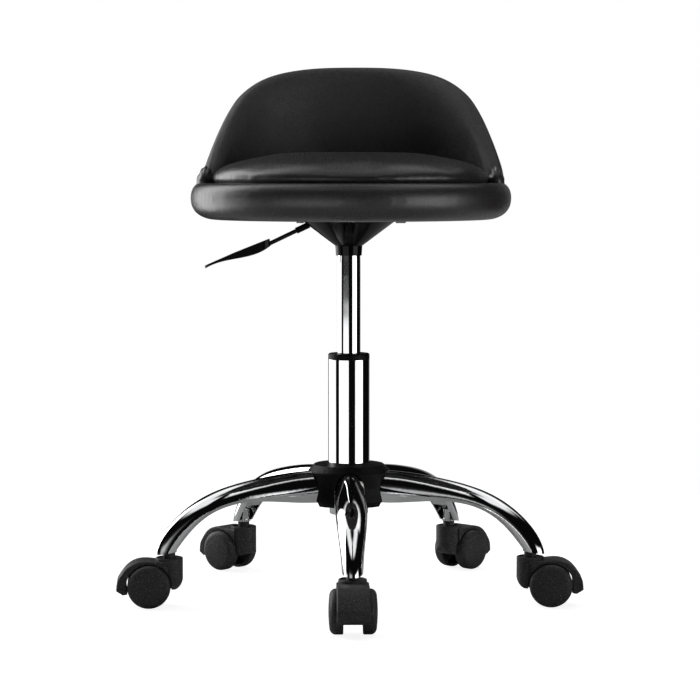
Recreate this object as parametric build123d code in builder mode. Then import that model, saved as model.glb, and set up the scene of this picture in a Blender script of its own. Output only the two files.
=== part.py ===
"""Rolling stylist stool: a gas-lift salon stool on a five-arm chrome base with twin-wheel casters.

Millimetres, +Z up. The origin lies on the floor, on the axis of the column. The stool faces -Y, its low
wrap-around back stands on the +Y side and the height lever points to -X.
"""

import os
from math import cos, radians, sin, sqrt

from build123d import *

# ---------------------------------------------------------------- driving sizes
# base
caster_circle_radius = 225.0
arm_angles = {
    "front": 0.0,
    "front_right": 72.0,
    "back_right": 144.0,
    "back_left": -144.0,
    "front_left": -72.0,
}
trail_angles = {
    "front": 0.0,
    "front_right": 87.0,
    "back_right": 135.0,
    "back_left": -132.0,
    "front_left": -87.0,
}
arm_bottom_z = 119.4
arm_top_z = 153.6
arm_root_x = 20.0
arm_root_half_width = 17.5
arm_tip_half_width = 12.0
arm_tip_z = 65.5
arm_wall = 2.0
arm_flank_lean = 1.6
arm_plate_thickness = 1.5
arm_plate_gap = 0.15
arm_plate_lift = 0.3
hub_radius = 49.5
hub_waist_radius = 47.6
hub_shoulder_radius = 42.0
hub_foot_radius = 47.0
hub_bottom_z = 112.0
hub_top_z = 163.2
hub_wall = 2.6
hub_mouth_gap = 0.3
arm_notch_gap = 0.5
sleeve_radius = 30.0

# casters
wheel_radius = 25.5
wheel_width = 16.5
wheel_gap = 22.0
wheel_edge_round = 8.0
wheel_dome = 1.0
wheel_tread_thickness = 3.5
wheel_disc_thickness = 3.0
wheel_hub_radius = 6.0
caster_trail = 24.0
caster_axle_radius = 3.0
axle_half_length = 22.5
axle_end_gap = 0.4
axle_boss_radius = 7.0
running_gap = 0.05
wheel_side_gap = 0.4
stem_radius = 5.5
stem_foot_z = 26.0
stem_housing_radius = 16.2
stem_housing_top_z = 58.0
stem_housing_bottom_z = 21.6
stem_housing_edge = 1.2
stem_recess_radius = 13.6
stem_recess_depth = 1.4
stem_tower_radius = 7.2
stem_boss_height = 5.6
stem_boss_gap = 0.6
hood_width = 37.0
hood_top_z = 55.5
hood_tip_z = 21.0
hood_tip_step = 8.0
hood_rear_reach = 38.5
hood_edge_round = 2.0
hood_clear_gap = 1.3
web_thickness = 6.0
socket_lip_radius = 9.0
socket_lip_height = 2.6
socket_tube_radius = 7.5
socket_tube_length = 15.0
stem_clip_depth = 0.9
stem_clip_length = 3.0
stem_head_length = 2.0

# gas lift
tube_radius = 25.0
tube_wall = 1.8
tube_bottom_z = 100.0
tube_floor_thickness = 4.0
tube_foot_gap = 0.1
tube_taper_top_z = 160.0
tube_taper_drop = 1.6
tube_top_z = 287.3
collar_height = 7.2
bush_length = 80.0
cylinder_radius = 14.0
cylinder_wall = 1.6
cylinder_bottom_z = 240.0
cylinder_top_z = 445.0
cylinder_head_height = 20.0
cylinder_taper_start_z = 405.0
cylinder_taper_drop = 1.0
rod_radius = 5.0
rod_guide_height = 10.0
piston_clearance = 2.0
piston_height = 10.0
piston_neck_radius = 3.5
clip_thickness = 1.2
clip_groove = 1.0
clip_radius = 8.5
clip_gap = 0.2
race_radius = 14.0
race_thickness = 2.0
ball_radius = 2.5
ball_circle_radius = 10.0
ball_count = 12
buffer_radius = 12.0
buffer_height = 10.0
valve_pin_radius = 3.0
valve_pin_length = 22.0
valve_pin_height = 4.6
valve_pin_bevel = 0.8

# seat mechanism
socket_bottom_z = 412.4
socket_shoulder_z = 424.1
socket_foot_over = 1.5
socket_shoulder_over = 2.25
socket_neck_over = 1.6
plate_top_z = 460.0
plate_thickness = 3.5
plate_side = 150.0
plate_corner = 12.0
cone_slope = 1.337
cone_wall = 1.5
cone_fit_gap = 0.1
bolt_half_pitch = 60.0
bolt_radius = 3.0
bolt_head_height = 4.0
bolt_head_flats = 10.0
tee_barrel_radius = 4.2
tee_flange_radius = 9.0
tee_flange_thickness = 1.2
lever_rod_radius = 2.5
lever_nose_x = 1.5
lever_nose_gap = 0.4
lever_pivot_x = -26.0
lever_pin_radius = 1.5
lever_eye_radius = 3.8
lever_eye_width = 6.0
lever_bend_x = -41.2
lever_bend_radius = 14.0
lever_droop = 25.5
lever_slot_half = 4.2
lever_slot_depth = 8.6
lever_window_depth = 18.0
sleeve_start_x = -48.0
lever_sleeve_length = 17.0
lever_sleeve_radius = 3.8
grip_root_x = -93.5
grip_tip_x = -173.4
grip_floor_z = 390.0
grip_root_under = 2.8
grip_root_over = 6.0
grip_middle_over = 9.3
grip_tip_over = 10.6
grip_tip_thickness = 3.5
grip_width = 24.0
grip_corner = 10.0
grip_socket_depth = 18.0
ear_thickness = 2.5
ear_gap = 0.3
ear_length = 12.0

# seat and back
seat_shift_x = 2.5
board_thickness = 12.0
rim_radius = 194.5
rim_over_board = 24.5
rim_over_pinch = 15.5
rim_over_cushion = 33.5
rim_roll_depth = 46.5
rim_bottom_z = 454.0
rim_top_z = 503.0
cushion_crown_z = 535.5
soft_gap = 0.3
cover_thickness = 0.6
core_thickness = 5.0
core_foot_z = 461.5
core_inset = 15.0
back_screw_radius = 1.8
back_screw_head_radius = 3.6
back_screw_head_height = 1.6
back_screw_length = 18.0
back_screw_angles = (-60.0, -30.0, 0.0, 30.0, 60.0)
back_foot_z = 504.0
back_front_y = 22.0
back_top_z = 645.0
back_thickness = 23.7
rim_over_back = 8.5

# ---------------------------------------------------------------- sizes worked out from them
tube_bore = tube_radius - tube_wall
tube_floor_z = tube_bottom_z + tube_floor_thickness
collar_top_z = tube_top_z + collar_height
hub_mouth_radius = tube_radius + hub_mouth_gap
hub_notch_half = arm_root_half_width + arm_notch_gap
hub_notch_flank = 12.0
hub_notch_crown = arm_top_z - arm_bottom_z - hub_notch_flank + arm_notch_gap
hub_notch_drop = arm_bottom_z - hub_bottom_z + 5.0
wheel_outer_y = wheel_gap / 2 + wheel_width
wheel_face_radius = wheel_radius - wheel_edge_round
stem_boss_top_z = stem_housing_top_z + stem_boss_height
socket_lip_z = stem_boss_top_z + stem_boss_gap
stem_top_z = socket_lip_z + socket_tube_length
stem_clip_z = stem_top_z - stem_head_length - stem_clip_length
cylinder_bore = cylinder_radius - cylinder_wall
socket_foot_radius = cylinder_radius + socket_foot_over
socket_shoulder_radius = cylinder_radius + socket_shoulder_over
socket_neck_radius = cylinder_radius + socket_neck_over
clip_z = tube_bottom_z - clip_gap - clip_thickness
rod_foot_z = clip_z - 2.0
piston_z = cylinder_bottom_z + rod_guide_height + piston_clearance
ball_centre_z = tube_floor_z + race_thickness + running_gap + ball_radius
upper_race_z = ball_centre_z + ball_radius + running_gap
plate_bottom_z = plate_top_z - plate_thickness
board_bottom_z = plate_top_z
board_top_z = board_bottom_z + board_thickness
lever_rod_z = cylinder_top_z + valve_pin_height + lever_nose_gap + lever_rod_radius
board_radius = rim_radius - rim_over_board
rim_pinch_radius = rim_radius - rim_over_pinch
rim_inner_radius = rim_radius - rim_roll_depth
cushion_radius = rim_radius - rim_over_cushion
back_outer_radius = rim_radius - rim_over_back
back_inner_radius = back_outer_radius - back_thickness
core_inner_radius = board_radius
core_outer_radius = core_inner_radius + core_thickness
seat_profile_plane = Plane(origin=(seat_shift_x, 0, 0), x_dir=(1, 0, 0), z_dir=(0, -1, 0))
seat_axis = Axis((seat_shift_x, 0, 0), (0, 0, 1))


def write(part, name):
    """Label a finished part and write it as its own STEP file."""
    part.label = name
    export_step(part, f"parts/{name}.step")


def radial_frame(angle, distance=0.0):
    """Level plane whose X axis points outwards at angle, measured from -Y towards +X."""
    outward = Vector(sin(radians(angle)), -cos(radians(angle)), 0)
    return Plane(origin=outward * distance, x_dir=outward, z_dir=(0, 0, 1))


def side_plane(frame):
    """Upright plane through a frame's X axis: sketch X is outwards and sketch Y is up."""
    return Plane(origin=frame.origin, x_dir=frame.x_dir, z_dir=-frame.y_dir)


def cross_plane(frame, distance, height=0.0):
    """Upright plane across a frame's X axis, seen from outside: sketch X is sideways and sketch Y is up."""
    point = frame.from_local_coords(Vector(distance, 0, height))
    return Plane(origin=point, x_dir=frame.y_dir, z_dir=frame.x_dir)


def tube_outer(z):
    """Outside radius of the column tube, which tapers towards its foot."""
    below = max(0.0, tube_taper_top_z - z)
    return tube_radius - tube_taper_drop * below / (tube_taper_top_z - tube_bottom_z)


def cylinder_outer(z):
    """Outside radius of the gas cylinder, which tapers towards its head."""
    above = max(0.0, z - cylinder_taper_start_z)
    return cylinder_radius - cylinder_taper_drop * above / (cylinder_top_z - cylinder_taper_start_z)



# ---------------------------------------------------------------- base: arms
def arm_reach(share):
    """Distance from the axis, at a share of the way from the arm's root to the caster circle."""
    return arm_root_x + share * (caster_circle_radius - arm_root_x)


arm_top_edge = Spline(
    (arm_reach(0), arm_top_z),
    (arm_reach(0.205), arm_top_z - 0.3),
    (arm_reach(0.505), arm_top_z - 8.4),
    (arm_reach(0.776), arm_top_z - 24.8),
    (arm_reach(0.951), arm_top_z - 48.8),
    (arm_reach(1.029), arm_top_z - 66.6),
    (arm_reach(1.083), arm_tip_z - 3.9),
)
arm_bottom_edge = Spline(
    (arm_reach(0), arm_bottom_z),
    (arm_reach(0.337), arm_bottom_z),
    (arm_reach(0.624), arm_bottom_z),
    (arm_reach(0.746), arm_bottom_z - 7.9),
    (arm_reach(0.829), arm_bottom_z - 18.9),
    (arm_reach(0.893), arm_bottom_z - 31.9),
    (arm_reach(0.976), arm_tip_z),
)
arm_half_width = Spline(
    (arm_reach(0), arm_root_half_width),
    (arm_reach(0.205), arm_root_half_width),
    (arm_reach(0.488), arm_root_half_width + 1.0),
    (arm_reach(0.707), arm_root_half_width + 0.3),
    (arm_reach(0.902), arm_tip_half_width + 2.5),
    (arm_reach(1.083), arm_tip_half_width),
)
arm_station_count = 11
arm_plate_first = 0.12
arm_plate_last = 0.86


def arm_section(frame, share, inset=0.0, drop=0.0):
    """Cross-section at a share of the arm's length: flat foot, leaning flanks and a half-oval crown."""
    lead = 0.17 * share * (1 - share)
    foot = arm_bottom_edge @ (share + lead)
    crown = arm_top_edge @ share
    upward = frame.x_dir * (crown.X - foot.X) + frame.z_dir * (crown.Y - foot.Y)
    point = frame.from_local_coords(Vector(foot.X, 0, foot.Y))
    flank = 4.0 + 10.0 * max(0.0, 1 - share / 0.55) ** 2
    half = (arm_half_width @ share).Y - inset
    foot_half = half - arm_flank_lean
    with BuildSketch(Plane(origin=point, x_dir=frame.y_dir, z_dir=frame.y_dir.cross(upward))) as section:
        with BuildLine():
            Line((-foot_half, -drop), (-half, flank))
            EllipticalCenterArc((0, flank), half, upward.length - flank - inset, arc_size=-180, start_angle=180)
            Line((half, flank), (foot_half, -drop))
            Line((foot_half, -drop), (-foot_half, -drop))
        make_face()
    return section.sketch


def base_arm(angle):
    """One pressed arm: a chromed shell, open underneath, from the sleeve down to its caster."""
    frame = radial_frame(angle)
    shares = [i / (arm_station_count - 1) for i in range(arm_station_count)]
    with BuildPart() as arm:
        loft(sections=[arm_section(frame, share) for share in shares])
        loft(sections=[arm_section(frame, share, inset=arm_wall, drop=1.0) for share in shares], mode=Mode.SUBTRACT)
        with BuildSketch(Plane.XY.offset(hub_bottom_z)):
            Circle(sleeve_radius)
        extrude(amount=hub_top_z - hub_bottom_z, mode=Mode.SUBTRACT)
    return arm.part


def arm_closing_plates():
    """Flat strips that close the undersides of the arms, short of the caster sockets."""
    span = arm_plate_last - arm_plate_first
    shares = [arm_plate_first + span * i / (arm_station_count - 1) for i in range(arm_station_count)]
    with BuildPart() as plates:
        for angle in arm_angles.values():
            frame = radial_frame(angle)
            loft(sections=[plate_section(frame, share) for share in shares])
    return plates.part


def plate_section(frame, share):
    """Cross-section of a closing plate, just inside the feet of the arm's flanks."""
    outline = arm_section(frame, share, inset=arm_wall)
    foot = outline.edges().filter_by(GeomType.LINE).sort_by(Axis.Z)[0]
    half = foot.length / 2 - arm_plate_gap
    crown = outline.center() - foot.center()
    with BuildSketch(Plane(origin=foot.center(), x_dir=frame.y_dir, z_dir=frame.y_dir.cross(crown))) as section:
        with Locations((0, arm_plate_lift)):
            Rectangle(2 * half, arm_plate_thickness, align=(Align.CENTER, Align.MIN))
    return section.sketch


# ---------------------------------------------------------------- base: hub
def hub_cover():
    """Moulded cap over the hub, open below, with an arched notch for each arm."""
    waist_z = hub_top_z - 28.0
    with BuildPart() as cover:
        with BuildSketch(Plane.XZ):
            with BuildLine():
                Polyline(
                    (hub_mouth_radius, hub_top_z),
                    (hub_shoulder_radius, hub_top_z - 2.8),
                    (hub_radius, hub_top_z - 10.5),
                    (hub_waist_radius, waist_z),
                    (hub_radius, hub_bottom_z + 5.5),
                    (hub_foot_radius, hub_bottom_z),
                    (hub_foot_radius - hub_wall, hub_bottom_z),
                    (hub_radius - hub_wall, hub_bottom_z + 6.5),
                    (hub_waist_radius - hub_wall, waist_z),
                    (hub_radius - hub_wall, hub_top_z - 11.5),
                    (hub_shoulder_radius - 1.0, hub_top_z - 2.8 - hub_wall),
                    (hub_mouth_radius, hub_top_z - hub_wall),
                    close=True,
                )
            make_face()
        revolve(axis=Axis.Z)
        fillet(cover.edges().filter_by(GeomType.CIRCLE).group_by(SortBy.RADIUS)[-1], radius=2.4)
        for angle in arm_angles.values():
            with BuildSketch(cross_plane(radial_frame(angle), sleeve_radius, arm_bottom_z)):
                with BuildLine():
                    Line((-hub_notch_half, -hub_notch_drop), (-hub_notch_half, hub_notch_flank))
                    EllipticalCenterArc(
                        (0, hub_notch_flank), hub_notch_half, hub_notch_crown, start_angle=180, arc_size=-180
                    )
                    Line((hub_notch_half, hub_notch_flank), (hub_notch_half, -hub_notch_drop))
                    Line((hub_notch_half, -hub_notch_drop), (-hub_notch_half, -hub_notch_drop))
                make_face()
            extrude(amount=hub_radius, mode=Mode.SUBTRACT)
    return cover.part


def hub_sleeve():
    """Steel sleeve on the tube's taper, to which the arms are welded."""
    low = hub_bottom_z + 1.0
    high = hub_top_z - hub_wall - 2.0
    with BuildPart() as sleeve:
        with BuildSketch(Plane.XZ):
            with BuildLine():
                Polyline(
                    (tube_outer(low), low),
                    (sleeve_radius, low),
                    (sleeve_radius, high),
                    (tube_outer(high), high),
                    close=True,
                )
            make_face()
        revolve(axis=Axis.Z)
    return sleeve.part


# ---------------------------------------------------------------- base: caster sockets and stems
def caster_sockets():
    """Short steel sockets welded into the arm ends, each with a lip below the arm."""
    with BuildPart() as sockets:
        for angle in arm_angles.values():
            foot = radial_frame(angle, caster_circle_radius).offset(socket_lip_z)
            with BuildSketch(foot):
                Circle(socket_lip_radius)
                Circle(stem_radius, mode=Mode.SUBTRACT)
            extrude(amount=socket_lip_height)
            with BuildSketch(foot):
                Circle(socket_tube_radius)
                Circle(stem_radius, mode=Mode.SUBTRACT)
            extrude(amount=socket_tube_length)
    return sockets.part


def caster_stems():
    """Steel stems that stay pressed in the sockets while the casters turn on them."""
    neck = stem_radius - stem_clip_depth
    with BuildPart() as stems:
        for angle in arm_angles.values():
            frame = radial_frame(angle, caster_circle_radius)
            with BuildSketch(side_plane(frame)):
                with BuildLine():
                    Polyline(
                        (0, stem_foot_z),
                        (stem_radius, stem_foot_z),
                        (stem_radius, stem_clip_z),
                        (neck, stem_clip_z),
                        (neck, stem_clip_z + stem_clip_length),
                        (stem_radius, stem_clip_z + stem_clip_length),
                        (stem_radius, stem_top_z - 0.8),
                        (stem_radius - 0.8, stem_top_z),
                        (0, stem_top_z),
                        close=True,
                    )
                make_face()
            revolve(axis=Axis(frame.origin, (0, 0, 1)))
    return stems.part


def stem_clips():
    """Split spring rings in the grooves of the stems, which grip the sockets."""
    with BuildPart() as clips:
        for angle in arm_angles.values():
            with BuildSketch(radial_frame(angle, caster_circle_radius).offset(stem_clip_z)):
                Circle(stem_radius)
                Circle(stem_radius - stem_clip_depth, mode=Mode.SUBTRACT)
                with Locations((stem_radius, 0)):
                    Rectangle(stem_radius, 1.6, mode=Mode.SUBTRACT)
            extrude(amount=stem_clip_length)
    return clips.part


# ---------------------------------------------------------------- casters
def caster_housing(frame):
    """Moulded hood, stem housing and axle web of a twin-wheel caster, in one piece."""
    side = side_plane(frame)
    hood_rear_x = caster_trail + hood_rear_reach
    nose_x = -stem_housing_radius
    with BuildPart() as housing:
        with BuildSketch(side):
            with BuildLine():
                Polyline((0, wheel_radius), (0, hood_top_z - 1.0), (stem_housing_radius, hood_top_z - 1.0))
                Spline(
                    (stem_housing_radius, hood_top_z - 1.0),
                    (caster_trail + 8.0, hood_top_z),
                    (caster_trail + 25.0, hood_top_z - 7.0),
                    (caster_trail + 35.0, hood_top_z - 19.5),
                    (hood_rear_x, hood_tip_z),
                    tangents=((1, 0.1), (0.05, -1)),
                )
                Polyline((hood_rear_x, hood_tip_z), (hood_rear_x - hood_tip_step, hood_tip_z - 5.0), (0, wheel_radius))
            make_face()
        extrude(amount=hood_width / 2, both=True)
        fillet(housing.edges().filter_by(GeomType.BSPLINE), radius=hood_edge_round)
        with BuildSketch(frame.offset(stem_housing_bottom_z)):
            Circle(stem_housing_radius)
        extrude(amount=stem_housing_top_z - stem_housing_bottom_z)
        fillet(housing.edges().filter_by(GeomType.CIRCLE).group_by(Axis.Z)[-1], radius=stem_housing_edge)
        with BuildSketch(frame.offset(stem_housing_top_z - stem_recess_depth)):
            Circle(stem_recess_radius)
        extrude(amount=stem_recess_depth, mode=Mode.SUBTRACT)
        with BuildSketch(side):
            with BuildLine():
                ThreePointArc(
                    (nose_x, stem_housing_bottom_z + 13.0),
                    (nose_x + 2.8, stem_housing_bottom_z + 4.6),
                    (nose_x + 9.0, stem_housing_bottom_z),
                )
                Polyline(
                    (nose_x + 9.0, stem_housing_bottom_z),
                    (nose_x + 9.0, stem_housing_bottom_z - 1.0),
                    (nose_x - 1.0, stem_housing_bottom_z - 1.0),
                    (nose_x - 1.0, stem_housing_bottom_z + 13.0),
                    (nose_x, stem_housing_bottom_z + 13.0),
                )
            make_face()
        extrude(amount=hood_width, both=True, mode=Mode.SUBTRACT)
        with BuildSketch(side):
            with Locations((caster_trail, wheel_radius)):
                Circle(wheel_radius + hood_clear_gap)
        extrude(amount=hood_width, both=True, mode=Mode.SUBTRACT)
        with BuildSketch(side):
            with BuildLine():
                Polyline(
                    (-stem_tower_radius + 1.0, stem_housing_bottom_z),
                    (-stem_tower_radius + 1.0, hood_top_z - 2.5),
                    (caster_trail + 10.0, hood_top_z - 2.5),
                    (caster_trail + axle_boss_radius, wheel_radius),
                    (caster_trail, wheel_radius - axle_boss_radius),
                    close=True,
                )
            make_face()
        extrude(amount=web_thickness / 2, both=True)
        with BuildSketch(side):
            with Locations((caster_trail, wheel_radius)):
                Circle(axle_boss_radius)
        extrude(amount=wheel_gap / 2 - wheel_side_gap, both=True)
        with BuildSketch(frame.offset(stem_housing_bottom_z)):
            Circle(stem_tower_radius)
        extrude(amount=stem_boss_top_z - stem_housing_bottom_z)
        with BuildSketch(frame.offset(stem_foot_z)):
            Circle(stem_radius + running_gap)
        extrude(amount=stem_boss_top_z, mode=Mode.SUBTRACT)
        with BuildSketch(side):
            with Locations((caster_trail, wheel_radius)):
                Circle(caster_axle_radius)
        extrude(amount=wheel_gap, both=True, mode=Mode.SUBTRACT)
    return housing.part


def caster_axle(frame):
    """Steel axle, pressed through the web, on whose ends the two wheels run."""
    with BuildPart() as axle:
        with BuildSketch(side_plane(frame)):
            with Locations((caster_trail, wheel_radius)):
                Circle(caster_axle_radius)
        extrude(amount=axle_half_length, both=True)
        chamfer(axle.edges().filter_by(GeomType.CIRCLE), length=0.5)
    return axle.part


def caster_wheel(frame, side):
    """One wheel of a pair: domed outer face, tread with a rounded edge, hollow inner side with a hub."""
    middle = frame.from_local_coords(Vector(caster_trail, 0, wheel_radius))
    profile_plane = Plane(origin=middle, x_dir=frame.y_dir * side, z_dir=frame.x_dir * side)
    inner = wheel_gap / 2
    outer = wheel_outer_y
    disc = outer - wheel_disc_thickness
    bore = caster_axle_radius + running_gap
    bore_end = axle_half_length + axle_end_gap
    rim = wheel_radius - wheel_tread_thickness
    with BuildPart() as wheel:
        with BuildSketch(profile_plane):
            with BuildLine():
                Line((bore_end, 0), (outer, 0))
                ThreePointArc(
                    (outer, 0),
                    (outer - wheel_dome / 4, wheel_face_radius / 2),
                    (outer - wheel_dome, wheel_face_radius),
                )
                EllipticalCenterArc(
                    (outer - wheel_edge_round, wheel_face_radius),
                    wheel_edge_round - wheel_dome,
                    wheel_edge_round,
                    arc_size=90,
                )
                Polyline(
                    (outer - wheel_edge_round, wheel_radius),
                    (inner + 1.0, wheel_radius),
                    (inner, wheel_radius - 1.0),
                    (inner, rim),
                    (disc, rim - 1.5),
                    (disc, wheel_hub_radius),
                    (inner, wheel_hub_radius),
                    (inner, bore),
                    (bore_end, bore),
                    (bore_end, 0),
                )
            make_face()
        revolve(axis=Axis(middle, frame.y_dir))
    return wheel.part


# ---------------------------------------------------------------- gas lift
def column_tube():
    """Chromed outer tube of the gas lift, tapered at its foot, with a plate at the bottom for the rod."""
    foot = tube_outer(tube_bottom_z)
    with BuildPart() as tube:
        with BuildSketch(Plane.XZ):
            with BuildLine():
                Polyline(
                    (rod_radius + tube_foot_gap, tube_bottom_z),
                    (foot - 1.0, tube_bottom_z),
                    (foot, tube_bottom_z + 1.0),
                    (tube_radius, tube_taper_top_z),
                    (tube_radius, tube_top_z),
                    (tube_bore, tube_top_z),
                    (tube_bore, tube_taper_top_z),
                    (foot - tube_wall, tube_floor_z),
                    (rod_radius + tube_foot_gap, tube_floor_z),
                    close=True,
                )
            make_face()
        revolve(axis=Axis.Z)
    return tube.part


def guide_bush():
    """Black plastic bush in the top of the tube, with the collar that shows; the cylinder slides in it."""
    with BuildPart() as bush:
        with BuildSketch(Plane.XZ):
            with BuildLine():
                Polyline(
                    (cylinder_radius + running_gap, collar_top_z - bush_length),
                    (tube_bore, collar_top_z - bush_length),
                    (tube_bore, tube_top_z),
                    (tube_radius, tube_top_z),
                    (tube_radius, collar_top_z - 1.2),
                    (tube_radius - 1.2, collar_top_z),
                    (cylinder_radius + running_gap, collar_top_z),
                    close=True,
                )
            make_face()
        revolve(axis=Axis.Z)
    return bush.part


def gas_cylinder():
    """Chromed gas cylinder, open below, with a tapered head drilled for the valve pin."""
    bore = cylinder_bore
    pin_bore = valve_pin_radius + running_gap
    with BuildPart() as cylinder:
        with BuildSketch(Plane.XZ):
            with BuildLine():
                Polyline(
                    (bore, cylinder_bottom_z),
                    (cylinder_radius, cylinder_bottom_z),
                    (cylinder_radius, cylinder_taper_start_z),
                    (cylinder_outer(cylinder_top_z), cylinder_top_z),
                    (pin_bore, cylinder_top_z),
                    (pin_bore, cylinder_top_z - cylinder_head_height),
                    (bore, cylinder_top_z - cylinder_head_height),
                    close=True,
                )
            make_face()
        revolve(axis=Axis.Z)
    return cylinder.part


def ring(outer, inner, bottom, height):
    """Plain ring or washer about the column axis."""
    with BuildPart() as washer:
        with BuildSketch(Plane.XY.offset(bottom)):
            Circle(outer)
            Circle(inner, mode=Mode.SUBTRACT)
        extrude(amount=height)
    return washer.part


def piston_rod():
    """Rod fixed in height: it hangs on the thrust bearing, passes the tube's foot and carries the piston."""
    with BuildPart() as rod:
        with BuildSketch(Plane.XZ):
            with BuildLine():
                Polyline(
                    (0, rod_foot_z),
                    (rod_radius, rod_foot_z),
                    (rod_radius, clip_z),
                    (rod_radius - clip_groove, clip_z),
                    (rod_radius - clip_groove, clip_z + clip_thickness),
                    (rod_radius, clip_z + clip_thickness),
                    (rod_radius, piston_z),
                    (piston_neck_radius, piston_z),
                    (piston_neck_radius, piston_z + piston_height + 1.0),
                    (0, piston_z + piston_height + 1.0),
                    close=True,
                )
            make_face()
        revolve(axis=Axis.Z)
    return rod.part


def piston():
    """Piston on the neck of the rod, inside the cylinder."""
    return ring(cylinder_bore - running_gap, piston_neck_radius, piston_z, piston_height)


def bearing_balls():
    """Ring of balls between the two washers of the thrust bearing."""
    with BuildPart() as balls:
        for i in range(ball_count):
            centre = radial_frame(360 * i / ball_count, ball_circle_radius).offset(ball_centre_z)
            with BuildSketch(side_plane(centre)):
                with BuildLine():
                    CenterArc((0, 0), ball_radius, -90, 180)
                    Line((0, ball_radius), (0, -ball_radius))
                make_face()
            revolve(axis=Axis(centre.origin, (0, 0, 1)))
    return balls.part


def valve_pin():
    """Domed pin that the lever presses down into the cylinder's head."""
    top = cylinder_top_z + valve_pin_height
    with BuildPart() as pin:
        with BuildSketch(Plane.XZ):
            with BuildLine():
                Polyline(
                    (0, top - valve_pin_length),
                    (valve_pin_radius, top - valve_pin_length),
                    (valve_pin_radius, top - valve_pin_bevel),
                    (valve_pin_radius - 2 * valve_pin_bevel, top),
                    (0, top),
                    close=True,
                )
            make_face()
        revolve(axis=Axis.Z)
    return pin.part


# ---------------------------------------------------------------- seat mechanism
def seat_socket():
    """Steel socket under the seat plate that the cylinder's taper wedges into, slotted for the lever."""
    head = cylinder_outer(cylinder_top_z)
    with BuildPart() as socket:
        with BuildSketch(Plane.XZ):
            with BuildLine():
                Polyline(
                    (cylinder_outer(socket_bottom_z), socket_bottom_z),
                    (socket_foot_radius, socket_bottom_z),
                    (socket_shoulder_radius, socket_shoulder_z),
                    (socket_neck_radius, socket_shoulder_z),
                    (socket_neck_radius, plate_bottom_z),
                    (head, plate_bottom_z),
                    (head, cylinder_top_z),
                    close=True,
                )
            make_face()
        revolve(axis=Axis.Z)
        with BuildSketch(Plane.XY.offset(plate_bottom_z - lever_slot_depth)):
            Rectangle(2 * socket_neck_radius, 2 * lever_slot_half, align=(Align.MAX, Align.CENTER))
        extrude(amount=lever_slot_depth, mode=Mode.SUBTRACT)
    return socket.part


def seat_cone():
    """Glossy black cone round the socket, widening to the seat plate, with a window for the lever."""
    rise = plate_bottom_z - socket_shoulder_z
    foot = socket_shoulder_radius
    level_wall = cone_wall * sqrt(1 + cone_slope**2)
    bore = socket_neck_radius + cone_fit_gap
    bore_rise = (bore + level_wall - foot) / cone_slope
    with BuildPart() as cone:
        with BuildSketch(Plane.XZ):
            with BuildLine():
                Polyline(
                    (bore, socket_shoulder_z),
                    (foot, socket_shoulder_z),
                    (foot + cone_slope * rise, plate_bottom_z),
                    (foot + cone_slope * rise - level_wall, plate_bottom_z),
                    (bore, socket_shoulder_z + bore_rise),
                    close=True,
                )
            make_face()
        revolve(axis=Axis.Z)
        with BuildSketch(Plane.XY.offset(plate_bottom_z - lever_window_depth)):
            with Locations((lever_pivot_x, 0)):
                Rectangle(plate_side, 2 * lever_sleeve_radius + 3.0, align=(Align.MAX, Align.CENTER))
        extrude(amount=lever_window_depth, mode=Mode.SUBTRACT)
    return cone.part


def seat_plate():
    """Steel plate that joins the socket to the seat board, with four bolt holes."""
    with BuildPart() as plate:
        with BuildSketch(Plane.XY.offset(plate_bottom_z)):
            RectangleRounded(plate_side, plate_side, plate_corner)
            with GridLocations(2 * bolt_half_pitch, 2 * bolt_half_pitch, 2, 2):
                Circle(bolt_radius, mode=Mode.SUBTRACT)
        extrude(amount=plate_thickness)
    return plate.part


def plate_bolts():
    """Four hexagon bolts up through the seat plate into the tee nuts of the board."""
    with BuildPart() as bolts:
        with BuildSketch(Plane.XY.offset(plate_bottom_z - bolt_head_height)):
            with GridLocations(2 * bolt_half_pitch, 2 * bolt_half_pitch, 2, 2):
                RegularPolygon(bolt_head_flats / 2, 6, major_radius=False)
        extrude(amount=bolt_head_height)
        with BuildSketch(Plane.XY.offset(plate_bottom_z)):
            with GridLocations(2 * bolt_half_pitch, 2 * bolt_half_pitch, 2, 2):
                Circle(bolt_radius)
        extrude(amount=plate_thickness + board_thickness)
    return bolts.part


def tee_nuts():
    """Flanged nuts let into the top of the board."""
    with BuildPart() as nuts:
        with BuildSketch(Plane.XY.offset(board_bottom_z)):
            with GridLocations(2 * bolt_half_pitch, 2 * bolt_half_pitch, 2, 2):
                Circle(tee_barrel_radius)
                Circle(bolt_radius, mode=Mode.SUBTRACT)
        extrude(amount=board_thickness)
        with BuildSketch(Plane.XY.offset(board_top_z)):
            with GridLocations(2 * bolt_half_pitch, 2 * bolt_half_pitch, 2, 2):
                Circle(tee_flange_radius)
                Circle(bolt_radius, mode=Mode.SUBTRACT)
        extrude(amount=tee_flange_thickness)
    return nuts.part


def lever_bracket():
    """Two steel ears under the seat plate that hold the lever's pin."""
    near = lever_eye_width / 2 + ear_gap
    with BuildPart() as bracket:
        for side in (-1, 1):
            with BuildSketch(Plane(origin=(0, side * near, 0), x_dir=(1, 0, 0), z_dir=(0, -1, 0))):
                with Locations((lever_pivot_x, plate_bottom_z)):
                    Rectangle(ear_length, plate_bottom_z - lever_rod_z + ear_length / 2, align=(Align.CENTER, Align.MAX))
                with Locations((lever_pivot_x, lever_rod_z)):
                    Circle(lever_pin_radius, mode=Mode.SUBTRACT)
            extrude(amount=-side * ear_thickness)
    return bracket.part


def lever_pin():
    """Pivot pin through the ears and the lever's eye."""
    with BuildPart() as pin:
        with BuildSketch(Plane.XZ):
            with Locations((lever_pivot_x, lever_rod_z)):
                Circle(lever_pin_radius)
        extrude(amount=lever_eye_width / 2 + ear_gap + ear_thickness, both=True)
    return pin.part


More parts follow.
